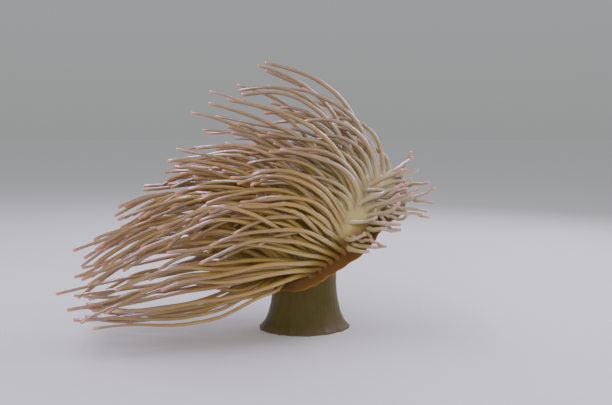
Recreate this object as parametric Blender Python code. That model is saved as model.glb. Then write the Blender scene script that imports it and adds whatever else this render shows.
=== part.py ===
"""Magnificent sea anemone, life size: a still model leaning in a steady current.

Metres, +Z up, origin at the middle of the underside of the pedal disc. The oral disc
climbs towards +X and faces up, back over -X and a little towards -Y; the tentacles stream
towards -X. The pedal disc, the column and the calyx are stacked solids. The oral disc on
top of them is cut into an inner and an outer ring of lobes round the mouth, and each lobe
is one piece with the tentacles that grow from it.
"""
import math

import bmesh
import bpy
import numpy as np
from mathutils import Vector
from mathutils.bvhtree import BVHTree
from mathutils.geometry import delaunay_2d_cdt

for old in list(bpy.data.objects):
    bpy.data.objects.remove(old, do_unlink=True)

# ---------------------------------------------------------------- driving dimensions (metres)
PEDAL_R = 0.0445        # radius of the foot where it grips the ground
PEDAL_H = 0.010         # height of the flared foot
COLUMN_R = 0.0335       # radius of the column at its waist
JOIN_Z = 0.045          # height where the column opens into the calyx
JOIN_TILT = 0.014       # rise of that join towards the high side of the disc
DISC_R = 0.0930         # radius of the oral disc
DISC_C = (0.0170, 0.0, 0.1075)   # middle of the disc's chord plane
DISC_RISE = math.radians(28.5)   # the disc climbs towards +X
DISC_NOD = math.radians(15.0)    # and faces down towards -Y
DOME = 0.0250           # crown of the oral disc above its edge
ROLL = 0.0085           # how far the margin turns down
WAVE = 0.0055           # folds of the margin
DISC_T = 0.0080         # thickness of the oral disc
RIM_RHO = 0.985         # where the margin's rounding starts
RIM_THIN = 0.40         # share of its thickness that the disc loses at the margin
MOUTH_RHO = 0.15        # the bare lips at the centre

TENTACLES = 378
FRINGE = 26             # extra small ones along the near, low margin
FAR_FRINGE = 28         # and along the rest of the margin
ROOT_RHO0, ROOT_RHO1 = 0.205, 0.945   # tentacles grow between these radii
ROOT_R, MID_R, TIP_R = 0.0036, 0.00207, 0.00161   # tentacle radii at the root, halfway and at the tip
POINTS = 36             # points along each tentacle's centre line
GAP = 0.0008            # clear space kept between neighbours
REACH = (               # by height of the root: full length, then elevation at 0, 1/4, 1/2, 3/4 and 1
    (0.00, 0.178, 4, -7, -13, -13, -8),
    (0.15, 0.188, 36, 11, -14, -28, -25),
    (0.30, 0.168, 60, 36, -4, -31, -35),
    (0.45, 0.126, 69, 47, 9, -14, -23),
    (0.65, 0.104, 71, 50, 20, 2, -3),
    (0.85, 0.118, 76, 50, 26, 11, 3),
    (1.00, 0.121, 106, 84, 45, 16, 1),
)
GOLDEN = math.pi * (3.0 - math.sqrt(5.0))

_n0 = np.array([-math.sin(DISC_RISE), 0.0, math.cos(DISC_RISE)])
E1 = np.array([math.cos(DISC_RISE), 0.0, math.sin(DISC_RISE)])
AXIS = _n0 * math.cos(DISC_NOD) - np.array([0, 1.0, 0]) * math.sin(DISC_NOD)
E2 = np.array([0, 1.0, 0]) * math.cos(DISC_NOD) + _n0 * math.sin(DISC_NOD)


def smooth(lo, hi, x):
    t = np.clip((np.asarray(x, float) - lo) / (hi - lo), 0, 1)
    return t * t * (3 - 2 * t)


def unit(v):
    v = np.asarray(v, float)
    return v / np.maximum(np.linalg.norm(v, axis=-1, keepdims=True), 1e-12)


# ---------------------------------------------------------------- the body's surface
def disc(rho, th, h=0.0):
    """A point of the oral disc at polar place rho, th, moved h along the disc's axis."""
    rho, th = np.broadcast_arrays(np.asarray(rho, float), np.asarray(th, float))
    rad = DISC_R * rho * (1 + rho * (0.040 * np.sin(3 * th + 1.1) + 0.020 * np.sin(5 * th + 0.3)))
    fold = 0.6 * np.sin(5 * th + 0.7) + 0.4 * np.sin(8 * th + 2.2)
    roll = ROLL * (1.0 + 0.45 * np.sin(-th - 0.9))
    lift = DOME * (1 - rho**2.4) - roll * rho**9 + WAVE * rho**3 * fold + h
    p = (rad * np.cos(th))[..., None] * E1 + (rad * np.sin(th))[..., None] * E2
    return np.array(DISC_C) + p + lift[..., None] * AXIS


def disc_xy(x, y, h=0.0):
    return disc(np.hypot(x, y) / DISC_R, np.arctan2(y, x), h)


def under(rho):
    """Depth of the disc's underside below its face."""
    return -DISC_T * (1 - RIM_THIN * smooth(0.80, 1.0, rho))


def disc_normal(x, y):
    e = 0.0003
    a = disc_xy(x + e, y) - disc_xy(x - e, y)
    b = disc_xy(x, y + e) - disc_xy(x, y - e)
    return unit(np.cross(a, b))


def column_ring(z, th, grow=0.0):
    """The column and foot: its outline at height z."""
    z, th = np.broadcast_arrays(np.asarray(z, float), np.asarray(th, float))
    flare = (PEDAL_R - COLUMN_R) * np.exp(-z / 0.0110)
    lump = 1 + 0.022 * np.sin(2 * th + 0.5 + 12 * z) + 0.018 * np.sin(3 * th + 2.0)
    foot = 1 + 0.05 * np.sin(4 * th + 0.8) * np.exp(-z / 0.006)
    r = (COLUMN_R + 0.0015 * np.cos(math.pi * z / 0.05)) * lump + flare * foot + grow
    return np.stack([r * np.cos(th) + 0.001, r * np.sin(th), z], -1)


def join_z(th):
    return JOIN_Z + JOIN_TILT * np.cos(th + 0.35)


def column(t, th):
    """t 0 at the foot's edge on the ground, 1 at the join with the calyx."""
    return column_ring(np.asarray(t) * join_z(th), th)


def calyx(t, th, rho=0.90, h=None):
    """The flaring underside, from the join (t 0) out to the disc's margin (t 1)."""
    t, th = np.broadcast_arrays(np.asarray(t, float), np.asarray(th, float))
    h = under(rho) if h is None else h
    a = column_ring(join_z(th), th)
    d = disc(rho, th, h)
    inner = disc(rho - 0.16, th, h - 0.004)
    far = np.linalg.norm(d - a, axis=-1)[..., None]
    up = np.array([0, 0, 1.0])
    b = a + up * far * 0.34
    c = d + unit(inner - d) * far * 0.42
    t = t[..., None]
    return (1 - t)**3 * a + 3 * (1 - t)**2 * t * b + 3 * (1 - t) * t**2 * c + t**3 * d


def body_tree(nth=96):
    """The whole body as one coarse surface, for keeping tentacles off it."""
    th = np.arange(nth) / nth * 2 * math.pi
    rings = [disc(r, th) for r in np.linspace(0.02, RIM_RHO, 26)]
    for a in (0.35, 0.65, 1.0):
        rings.append(disc(RIM_RHO + (1 - RIM_RHO) * math.sin(a * math.pi), th, under(1.0) * a))
    rings += [calyx(t, th) for t in np.linspace(0.97, 0.0, 14)]
    rings += [column(t, th) for t in np.linspace(0.95, 0.0, 10)]
    v = np.concatenate(rings)
    faces = []
    for i in range(len(rings) - 1):
        for j in range(nth):
            k = (j + 1) % nth
            faces.append((i * nth + j, (i + 1) * nth + j, (i + 1) * nth + k, i * nth + k))
    return BVHTree.FromPolygons([tuple(p) for p in v], faces)


# ---------------------------------------------------------------- where the tentacles grow
def roots():
    """Even, spiral places on the disc, then pushed apart a little: (x, y) in the flat disc."""
    i = np.arange(TENTACLES)
    rho = np.sqrt(ROOT_RHO0**2 + (ROOT_RHO1**2 - ROOT_RHO0**2) * (i + 0.5) / TENTACLES)
    th = i * GOLDEN
    p = np.stack([rho * np.cos(th), rho * np.sin(th)], -1) * DISC_R
    th = np.radians(np.concatenate([np.linspace(-158, -42, FRINGE), np.linspace(-28, 172, FAR_FRINGE)]))
    p = np.concatenate([p, ROOT_RHO1 * DISC_R * np.stack([np.cos(th), np.sin(th)], -1)])
    for _ in range(60):
        d = p[:, None] - p[None]
        far = np.linalg.norm(d, axis=-1) + np.eye(len(p))
        r = np.linalg.norm(p, axis=-1)
        want = 0.0090 - 0.0024 * smooth(0.80, 0.92, r / DISC_R) * (0.6 + 0.4 * smooth(0.005, 0.040, -p[:, 1]))
        push = np.clip(0.5 * (want[:, None] + want[None]) - far, 0, None) / far
        np.fill_diagonal(push, 0)
        p = p + 0.3 * (d * push[..., None]).sum(1)
        r = np.linalg.norm(p, axis=-1)
        p *= (np.clip(r, ROOT_RHO0 * DISC_R, ROOT_RHO1 * DISC_R) / r)[:, None]
    return p


def rough(i, k):
    """A fixed scatter number from -1 to 1 for tentacle i and purpose k."""
    v = np.sin(np.asarray(i, float) * 12.9898 + k * 78.233) * 43758.5453
    return 2 * (v - np.floor(v)) - 1


def eddy(p):
    """The swirl of the current at the points p, as a small sideways push."""
    x, y, z = p[..., 0], p[..., 1], p[..., 2]
    u = np.sin(58 * x + 31 * z + 1.3) * np.cos(47 * y + 0.4) + 0.6 * np.sin(88 * z - 53 * x + 64 * y)
    v = np.sin(49 * z + 37 * y + 2.1) * np.cos(61 * x - 0.8) + 0.6 * np.sin(71 * x + 79 * z + 1.9)
    return np.stack([0 * u, u, v], -1)


# ---------------------------------------------------------------- how each one lies in the current
def lay_out():
    """Centre lines (n, POINTS, 3), radii (n, POINTS) and lengths of all the tentacles."""
    flat = roots()
    x, y = flat[:, 0], flat[:, 1]
    n = len(x)
    i = np.arange(n)
    p0, n0 = disc_xy(x, y), disc_normal(x, y)
    rho, th = np.hypot(x, y) / DISC_R, np.arctan2(y, x)
    out = np.cos(th)[:, None] * E1 + np.sin(th)[:, None] * E2
    # lee lobe: the short tentacles beyond the parting on the high side
    side_x = 0.83 * x - 0.555 * y - 0.0610
    lee = side_x + 0.0035 * rough(i, 9) > 0
    # on the far part of the lee margin, some of the outermost ones hang over the edge
    hang = (rho > 0.90) & (th > -0.25) & (th < 1.25) & (rough(i, 19) > -0.1) & ~lee
    lee = lee | hang
    height = np.clip((p0[:, 2] - 0.056) / 0.104, 0, 1)
    table = np.array(REACH)
    length = np.interp(height, table[:, 0], table[:, 1]) * (1 + 0.08 * rough(i, 1) + (rough(i, 8) > np.interp(height, [0.5, 0.66, 0.8], [0.5, 0.72, 0.46])) * (0.03 + 0.38 * smooth(0.35, 0.72, height)))
    length *= 1 - 0.28 * smooth(0.070, 0.100, p0[:, 0])
    length *= 1 - 0.36 * smooth(0.85, 0.93, rho) * smooth(0.01, 0.06, -y) * smooth(-0.03, 0.03, x)
    few = np.interp(height, [0, 0.3, 0.6, 1.0], [0.12, 0.18, 0.50, 0.56]) + 0.18 * smooth(0.03, 0.07, -y)
    length *= np.where(rough(i, 2) > 1 - 2 * few, 0.54 + 0.22 * rough(i, 3), 1.0)
    short = np.interp(p0[:, 2], [0.085, 0.105, 0.130, 0.152], [0.036, 0.051, 0.055, 0.042]) - 0.008 * smooth(0.62, 0.90, rho)
    length = np.where(lee, 0.90 * short * (1 + 0.18 * rough(i, 1)), length)

    keys = np.linspace(0, 1, table.shape[1] - 2)
    bend = np.stack([np.interp(height, table[:, 0], table[:, c]) for c in range(2, table.shape[1])], -1)
    loose = 0.55 + 0.45 * smooth(0.1, 0.4, height)
    bend = bend + np.stack([loose * (5 * rough(i, 40 + c) + 16 * rough(i, 5) * (c / 4)) for c in range(5)], -1)
    # those on the near, low margin lean out over it
    over = smooth(0.82, 0.92, rho) * smooth(0.015, 0.05, -y) * smooth(0.045, 0.02, x)
    drape = over * smooth(0.015, -0.035, x)
    bend = bend - over[:, None] * np.array([26, 10, -6, -12, -12]) - drape[:, None] * np.array([24, 14, -4, -9, -9])
    bend = np.radians(bend)
    spread = np.clip(y / DISC_R, -1, 1)
    az0 = np.radians(6 * rough(i, 7) + 20 * spread)
    az1 = np.radians(13 * rough(i, 6) + 6 * spread)
    pts = np.zeros((n, POINTS, 3))
    pts[:, 0] = p0
    step = length / (POINTS - 1)
    scat = np.stack([rough(i, 11), rough(i, 12), rough(i, 13)], -1)
    fan = np.interp(p0[:, 2], [0.085, 0.105, 0.122, 0.138, 0.152], [8, 3, -3, 2, 32])
    fan = fan - smooth(0.74, 0.92, rho) * np.interp(p0[:, 2], [0.085, 0.105, 0.138, 0.152], [0, 6, 12, 0])
    fan = np.radians(np.where(hang, -34, fan) + 13 * rough(i, 11))
    turn = np.radians(np.where(hang, np.degrees(th) * 0.9, -16 + 38 * spread) + 20 * rough(i, 12))
    lee_dir = np.stack([np.cos(fan) * np.cos(turn), np.cos(fan) * np.sin(turn), np.sin(fan)], -1)
    for k in range(POINTS - 1):
        s = k / (POINTS - 1)
        c = min(int(s * 4), 3)
        f = s * 4 - c
        el = bend[:, c] * (1 - f) + bend[:, c + 1] * f
        az = az0 + (az1 - az0) * smooth(0.1, 0.8, s)
        flow = np.stack([-np.cos(el) * np.cos(az), np.cos(el) * np.sin(az), np.sin(el)], -1)
        w = smooth(-0.02, 0.24, s + 0.14 * over + 0.05 * drape)[:, None]
        d = unit((1 - w) * n0 + w * flow)
        lift = np.stack([-0.12 + 0 * x, 0 * x, np.interp(p0[:, 2], [0.090, 0.115, 0.140], [0.35, 0.46, 0.60])], -1)
        lift = lift * np.where(hang, -0.3, 1.0)[:, None]
        curl = unit(lee_dir + s * s * (lift + 0.55 * scat[:, ::-1]))
        dl = unit((1 - smooth(-0.1, 0.34, s * length / 0.060))[:, None] * n0 + (0.42 + smooth(0, 0.4, s)) * curl)
        d = np.where(lee[:, None], dl, d)
        # a slow swing from side to side, some of it shared with the neighbours
        w = 2 * math.pi * (s * (1.0 + 0.5 * rough(i, 14)) + rough(i, 15))
        swing = (0.12 + 0.06 * rough(i, 16)) * smooth(0.1, 0.5, s) * np.where(lee, 1.6, 1.0)
        d = unit(
            d
            + (swing * np.sin(w))[:, None] * np.array([0, 0.8, 0.0])
            + (swing * np.cos(w * 0.8 + 1))[:, None] * np.array([0, 0.0, 0.6])
            + 0.13 * float(smooth(0.15, 0.6, s)) * eddy(pts[:, k])
        )
        pts[:, k + 1] = pts[:, k] + d * step[:, None]
    s = np.linspace(0, 1, POINTS)
    slim = np.interp(s, [0, 0.6, 0.93, 1.0], [0.00245, MID_R, TIP_R, TIP_R * 1.12])[None] * np.where(lee, 0.96, 1.0)[:, None]
    root_r = (ROOT_R - 0.00245) * (1 - 0.75 * smooth(0.80, 0.92, rho))
    rad = slim + root_r[:, None] * np.exp(-s[None] * length[:, None] / np.where(lee, 0.006, 0.013)[:, None])
    rad = rad * (1 + 0.09 * rough(i, 17))[:, None]
    return pts, rad, length, lee, flat


def near_pairs(p, cell):
    """Pairs of points closer than about cell, by sorting them into a grid."""
    q = np.floor(p / cell).astype(np.int64)
    q -= q.min(0) - 1
    dims = q.max(0) + 2
    key = (q[:, 0] * dims[1] + q[:, 1]) * dims[2] + q[:, 2]
    order = np.argsort(key, kind="stable")
    ks = key[order]
    every = np.arange(len(p))
    ai, aj = [], []
    for dx in (-1, 0, 1):
        for dy in (-1, 0, 1):
            for dz in (-1, 0, 1):
                if (dx, dy, dz) < (0, 0, 0):
                    continue
                kk = key + (dx * dims[1] + dy) * dims[2] + dz
                lo = np.searchsorted(ks, kk, "left")
                cnt = np.searchsorted(ks, kk, "right") - lo
                first = np.repeat(lo - (np.cumsum(cnt) - cnt), cnt)
                i = np.repeat(every, cnt)
                j = order[np.arange(cnt.sum()) + first]
                if (dx, dy, dz) == (0, 0, 0):
                    keep = i < j
                    i, j = i[keep], j[keep]
                ai.append(i)
                aj.append(j)
    return np.concatenate(ai), np.concatenate(aj)


def settle(pts, rad, tree, rounds=56, floor=0.0035):
    """Pushes the tentacles off each other, off the body and off the ground, keeping their lengths."""
    n, m, _ = pts.shape
    home = pts.copy()
    seg = np.linalg.norm(np.diff(pts, axis=1), axis=-1)
    owner = np.repeat(np.arange(n), m)
    r = rad.reshape(-1)
    s = np.linspace(0, 1, m)
    free = smooth(0.0, 0.16, s)[None, :, None]
    cell = 2 * rad[:, 3:].max() + GAP + 0.0012
    for it in range(rounds):
        flat = pts.reshape(-1, 3)
        i, j = near_pairs(flat, cell)
        keep = owner[i] != owner[j]
        i, j = i[keep], j[keep]
        d = flat[i] - flat[j]
        far = np.linalg.norm(d, axis=-1)
        bite = r[i] + r[j] + GAP + 0.0004 - far
        keep = bite > 0
        i, j, d, far, bite = i[keep], j[keep], d[keep], far[keep], bite[keep]
        way = d / np.maximum(far, 1e-6)[:, None] * (0.5 * bite)[:, None]
        push = np.zeros_like(flat)
        for a in range(3):
            push[:, a] = np.bincount(i, way[:, a], n * m) - np.bincount(j, way[:, a], n * m)
        push = push.reshape(n, m, 3)
        size = np.linalg.norm(push, axis=-1, keepdims=True)
        push *= np.minimum(1, 0.0016 / np.maximum(size, 1e-9))
        for _ in range(3):
            push[:, 1:-1] = 0.25 * push[:, :-2] + 0.5 * push[:, 1:-1] + 0.25 * push[:, 2:]
        pts = pts + 1.25 * push * free
        pts += 0.012 * (home - pts) * free
        bend = np.zeros_like(pts)
        bend[:, 1:-1] = 0.5 * (pts[:, :-2] + pts[:, 2:]) - pts[:, 1:-1]
        pts += 0.10 * bend * free
        if it % 3 == 2 or it > rounds - 4:
            for a in range(n):
                for b in range(3, m, 2 if it < rounds - 4 else 1):
                    v = Vector(pts[a, b])
                    hit, nrm, _, dist = tree.find_nearest(v, 0.012)
                    if hit is None:
                        continue
                    depth = (v - hit).dot(nrm)
                    need = rad[a, b] + 0.0008 - depth
                    if need > 0 and abs(abs(depth) - dist) < 0.002:
                        pts[a, b] += np.array(nrm) * min(need, 0.002)
        low = pts[..., 2] - rad - floor
        pts[..., 2] = np.where(low < 0, pts[..., 2] - 0.6 * low, pts[..., 2])
        dirs = unit(np.diff(pts, axis=1))
        pts = np.concatenate([home[:, :1], home[:, :1] + np.cumsum(dirs * seg[..., None], axis=1)], axis=1)
    return pts


def clear_ones(pts, rad, lengths, tree, fine=120):
    """Marks the tentacles to keep, so that none passes through another or through the body."""
    n, m, _ = pts.shape
    s, at = np.linspace(0, 1, fine), np.linspace(0, 1, m)
    p = np.stack([np.stack([np.interp(s, at, pts[k, :, a]) for a in range(3)], -1) for k in range(n)]).reshape(-1, 3)
    r = np.concatenate([np.interp(s, at, rad[k]) for k in range(n)])
    owner = np.repeat(np.arange(n), fine)
    far_out = np.tile(s, n) * np.repeat(lengths, fine)
    i, j = near_pairs(p, 2.1 * rad[:, 3:].max())
    ok = (owner[i] != owner[j]) & (far_out[i] > 0.006) & (far_out[j] > 0.006)
    i, j = i[ok], j[ok]
    ok = np.linalg.norm(p[i] - p[j], axis=-1) < 0.90 * (r[i] + r[j])
    clash = np.zeros((n, n), bool)
    clash[owner[i[ok]], owner[j[ok]]] = True
    clash |= clash.T
    keep = np.ones(n, bool)
    for k in range(n):
        for b in range(4, m):
            v = Vector(pts[k, b])
            hit, nrm, _, _ = tree.find_nearest(v, 0.01)
            if b * lengths[k] / (m - 1) > 0.010 and hit is not None and (v - hit).dot(nrm) < 0.45 * rad[k, b]:
                keep[k] = False
    while True:
        c = (clash & keep[:, None] & keep[None]).sum(1)
        if c.max() == 0:
            return keep
        keep[np.lexsort((lengths, -c))[0]] = False


def animal():
    """The settled tentacles: centre lines, radii, lengths, lee ones and root places in the flat disc."""
    pts, rad, lengths, lee, flat = lay_out()
    # the lee lobe and the far crest of the crown are looser than the rest
    i = np.arange(len(flat))
    airy = ~lee & (pts[:, 0, 2] > 0.132) & (flat[:, 1] > -0.015) & (rough(i, 23) > 0.28)
    stay = ~(airy | (lee & (rough(i, 21) > 0.55)))
    pts, rad, lengths, lee, flat = pts[stay], rad[stay], lengths[stay], lee[stay], flat[stay]
    tree = body_tree()
    pts = settle(pts, rad, tree)
    keep = clear_ones(pts, rad, lengths, tree)
    return pts[keep], rad[keep], lengths[keep], lee[keep], flat[keep]


# ---------------------------------------------------------------- the solids
SEAM = 0.0003           # clear gap between neighbouring solids
SPOKES = 36             # sides of the round solids
OUTER_LOBES = 12        # lobes in the disc's outer ring
INNER_LOBES = 6         # lobes round the mouth
CUT_RHO = 0.56          # where the two rings of lobes meet
CALYX_RHO = 0.90        # how far out the calyx backs the disc
SIDES = 5               # sides of a tentacle
FACET = 0.0265          # length of a tentacle's straight stretches
TENTACLE_FACES = 6350   # triangles to spend on tentacles
RHO_RINGS = (MOUTH_RHO, 0.36, CUT_RHO, 0.74, CALYX_RHO)


def material(name, colour, rough_, sheen=0.0):
    m = bpy.data.materials.new(name)
    m.use_nodes = True
    b = m.node_tree.nodes["Principled BSDF"]
    b.inputs["Base Color"].default_value = (*colour, 1)
    b.inputs["Roughness"].default_value = rough_
    b.inputs["Metallic"].default_value = 0.0
    b.inputs["Sheen Weight"].default_value = sheen
    return m


def link(bm, name, mat):
    bmesh.ops.triangulate(bm, faces=bm.faces[:])
    bmesh.ops.recalc_face_normals(bm, faces=bm.faces[:])
    me = bpy.data.meshes.new(name)
    bm.to_mesh(me)
    bm.free()
    me.materials.append(mat)
    me.shade_smooth()
    me.set_sharp_from_angle(angle=math.radians(40))
    ob = bpy.data.objects.new(name, me)
    bpy.context.scene.collection.objects.link(ob)
    return ob


def stack(name, rings, mat, low_mid=None, top_mid=None):
    """A closed solid through a stack of rings, its ends closed by fans or flat faces."""
    bm = bmesh.new()
    rows = [[bm.verts.new(p) for p in ring] for ring in rings]
    for a, b in zip(rows, rows[1:]):
        for j in range(len(a)):
            k = (j + 1) % len(a)
            bm.faces.new((a[j], a[k], b[k], b[j]))
    for row, mid in ((rows[0][::-1], low_mid), (rows[-1], top_mid)):
        if mid is None:
            bm.faces.new(row)
            continue
        c = bm.verts.new(mid)
        for j in range(len(row)):
            bm.faces.new((row[j], row[(j + 1) % len(row)], c))
    return link(bm, name, mat)


SPOKE = np.arange(SPOKES) / SPOKES * 2 * math.pi


def body_solids(skin, foot):
    # the foot, with a flat underside
    rings = [column_ring(z, SPOKE) for z in (0.0, 0.0022, 0.0055, PEDAL_H - SEAM / 2)]
    stack("pedal_disc", rings, foot)
    # the column up to the slanting join
    rings = []
    for t in np.linspace(0, 1, 6):
        z = (PEDAL_H + SEAM / 2) * (1 - t) + (join_z(SPOKE) - SEAM / 2) * t
        rings.append(column_ring(z, SPOKE))
    mid = np.mean(rings[-1], axis=0)
    stack("column", rings, skin, None, mid)
    # the calyx, whose top fits the underside of the disc
    rings = [calyx(0.0, SPOKE) + np.array([0, 0, SEAM / 2])]
    rings += [calyx(t, SPOKE, CALYX_RHO, under(CALYX_RHO) - SEAM) for t in (0.16, 0.34, 0.54, 0.76, 1.0)]
    low = np.mean(rings[0], axis=0)
    low[2] = mid[2] + SEAM
    for r in RHO_RINGS[-2::-1]:
        rings.append(disc(r, SPOKE, under(r) - SEAM))
    stack("calyx", rings, skin, low, disc(0.0, 0.0, -DISC_T - SEAM))


def mouth_solid(mat):
    """The raised oval lips round the slit of the mouth."""
    edge = MOUTH_RHO - SEAM / DISC_R
    rings = [disc(edge, SPOKE[::2], -DISC_T)]
    for r, h in ((1.0, 0.0), (0.86, 0.0024), (0.62, 0.0052), (0.40, 0.0055)):
        rings.append(disc(edge * r, SPOKE[::2], h))
    slit = [(0.26, 0.0040), (0.17, -0.0005)]
    for r, h in slit:
        t = SPOKE[::2]
        x, y = edge * r * DISC_R * 1.5 * np.cos(t), edge * r * DISC_R * 0.55 * np.sin(t)
        rings.append(disc_xy(x, y, h))
    stack("mouth", rings, mat, disc(0.0, 0.0, -DISC_T), disc(0.0, 0.0, -0.0010))


class Lobe:
    """One piece of the oral disc between two radii and two angles."""

    def __init__(self, name, r0, r1, j0, j1, margin):
        self.name, self.r0, self.r1, self.margin = name, r0, r1, margin
        self.j0, self.j1 = j0, j1
        self.a0, self.a1 = j0 / SPOKES * 2 * math.pi, j1 / SPOKES * 2 * math.pi
        rings = [r for r in RHO_RINGS if r0 - 1e-9 <= r <= r1 + 1e-9]
        if margin:
            rings.append(RIM_RHO)
        self.rings = rings
        self.grown = []

    def place(self, rho, j):
        """Flat place of grid point (rho, j), drawn in by half a seam at the cuts."""
        a = j / SPOKES * 2 * math.pi
        x, y = rho * DISC_R * math.cos(a), rho * DISC_R * math.sin(a)
        if j == self.j0:
            x, y = x - math.sin(a) * SEAM / 2, y + math.cos(a) * SEAM / 2
        if j == self.j1:
            x, y = x + math.sin(a) * SEAM / 2, y - math.cos(a) * SEAM / 2
        pull = 0.0
        if rho == self.rings[0]:
            pull = SEAM / 2
        if rho == self.rings[-1] and not self.margin:
            pull = -SEAM / 2
        return x + pull * math.cos(a), y + pull * math.sin(a)

    def holds(self, x, y, r):
        """True where a tentacle of root radius r at (x, y) fits on this lobe."""
        rho, a = math.hypot(x, y), math.atan2(y, x) % (2 * math.pi)
        if not self.a0 < a < self.a1:
            return False
        if rho - r < self.r0 * DISC_R or rho + r > (RIM_RHO if self.margin else self.r1) * DISC_R:
            return False
        return rho * math.sin(a - self.a0) > r and rho * math.sin(self.a1 - a) > r

    def build(self, mat):
        bm = bmesh.new()
        js = list(range(self.j0, self.j1 + 1))
        # underside, on the same grid as the calyx
        base = {}
        for r in self.rings:
            for j in js:
                x, y = self.place(r, j)
                base[r, j] = bm.verts.new(disc_xy(x, y, under(r)))
        for r, q in zip(self.rings, self.rings[1:]):
            for j, k in zip(js, js[1:]):
                bm.faces.new((base[r, j], base[r, k], base[q, k], base[q, j]))
        # the outline, once round, as flat places
        loop = [(self.rings[0], j) for j in js]
        loop += [(r, js[-1]) for r in self.rings[1:]]
        loop += [(self.rings[-1], j) for j in js[-2::-1]]
        loop += [(r, js[0]) for r in self.rings[-2:0:-1]]
        flat = [Vector(self.place(r, j)) for r, j in loop]
        # the upper face, with a ring of points where each tentacle grows
        faces = [list(range(len(loop)))[::-1]]
        for g in self.grown:
            first = len(flat)
            flat += [Vector(p) for p in g.foot_xy]
            faces.append(list(range(first, first + SIDES)))
        out = delaunay_2d_cdt(flat, [], faces, 1, 1e-7)
        co, tris, was_vert, was_face = out[0], out[2], out[3], out[5]
        top = [bm.verts.new(disc_xy(p.x, p.y)) for p in co]
        index = {}
        for n, olds in enumerate(was_vert):
            for o in olds:
                index[o] = n
        for tri, owners in zip(tris, was_face):
            if all(o == 0 for o in owners):
                bm.faces.new([top[v] for v in tri])
        # the walls, rounded outwards along the margin
        n = len(loop)
        for k in range(n):
            a, b = loop[k], loop[(k + 1) % n]
            ta, tb = top[index[k]], top[index[(k + 1) % n]]
            ua, ub = base[a], base[b]
            if self.margin and a[0] == b[0] == self.rings[-1]:
                continue
            bm.faces.new((ta, tb, ub, ua))
        if self.margin:
            lip = {}
            for j in js:
                a = j / SPOKES * 2 * math.pi
                x, y = self.place(self.rings[-1], j)
                out_x = (1 - RIM_RHO) * DISC_R
                lip[j] = bm.verts.new(disc_xy(x + out_x * math.cos(a), y + out_x * math.sin(a), under(1.0) * 0.5))
            at = {loop[k]: top[index[k]] for k in range(n)}
            for j, k in zip(js, js[1:]):
                r = self.rings[-1]
                bm.faces.new((at[r, j], lip[j], lip[k], at[r, k]))
                bm.faces.new((lip[j], base[r, j], base[r, k], lip[k]))
            for j in (js[0], js[-1]):
                bm.faces.new((at[r, j], base[r, j], lip[j]))
        # the tentacles, drawn out of the face ring by ring
        for g, f in zip(self.grown, faces[1:]):
            face = bm.faces.new([top[index[v]] for v in f])
            for ring in g.rings:
                face = bmesh.ops.extrude_discrete_faces(bm, faces=[face])["faces"][0]
                for v, p in zip(face.verts, ring):
                    v.co = p
        return link(bm, self.name, mat)


class Tentacle:
    """A faceted tentacle: the centre line cut into stretches, and a ring at each."""

    def __init__(self, n, line, rad, length, xy):
        self.n, self.xy = n, xy
        count = max(3, min(7, int(round(length / FACET))))
        s = (np.arange(count + 1) / count) ** 1.12 * (POINTS - 1)
        at = np.arange(POINTS)
        self.line = np.stack([np.interp(s, at, line[:, c]) for c in range(3)], -1)
        self.rad = np.interp(s, at, rad) * 1.05
        self.tip = self.line[-1]
        self.cost = 2 * SIDES * count + SIDES + 4
        t = np.linspace(0, count, 90)
        self.fine = np.stack([np.interp(t, np.arange(count + 1), self.line[:, c]) for c in range(3)], -1)
        self.fine_r = np.interp(t, np.arange(count + 1), self.rad)
        turn = np.arange(SIDES) / SIDES * 2 * math.pi
        self.foot_xy = np.stack([xy[0] + self.rad[0] * np.cos(turn), xy[1] + self.rad[0] * np.sin(turn)], -1)
        self.foot = disc_xy(self.foot_xy[:, 0], self.foot_xy[:, 1])
        way = unit(np.diff(self.line, axis=0))
        a = self.foot[0] - self.line[0]
        self.rings = []
        hand = None
        for k in range(1, count + 1):
            t = unit(way[k - 1] + way[k]) if k < count else way[-1]
            a = unit(a - a.dot(t) * t)
            b = np.cross(t, a)
            if hand is None:
                hand = 1.0 if b.dot(self.foot[1] - self.line[0]) > 0 else -1.0
            ring = [self.line[k] + self.rad[k] * (math.cos(u) * a + hand * math.sin(u) * b) for u in turn]
            self.rings.append(ring)

    def clear_of(self, other, room):
        d = np.linalg.norm(self.fine[:, None] - other.fine[None], axis=-1)
        return (d - self.fine_r[:, None] - other.fine_r[None]).min() > room


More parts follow.
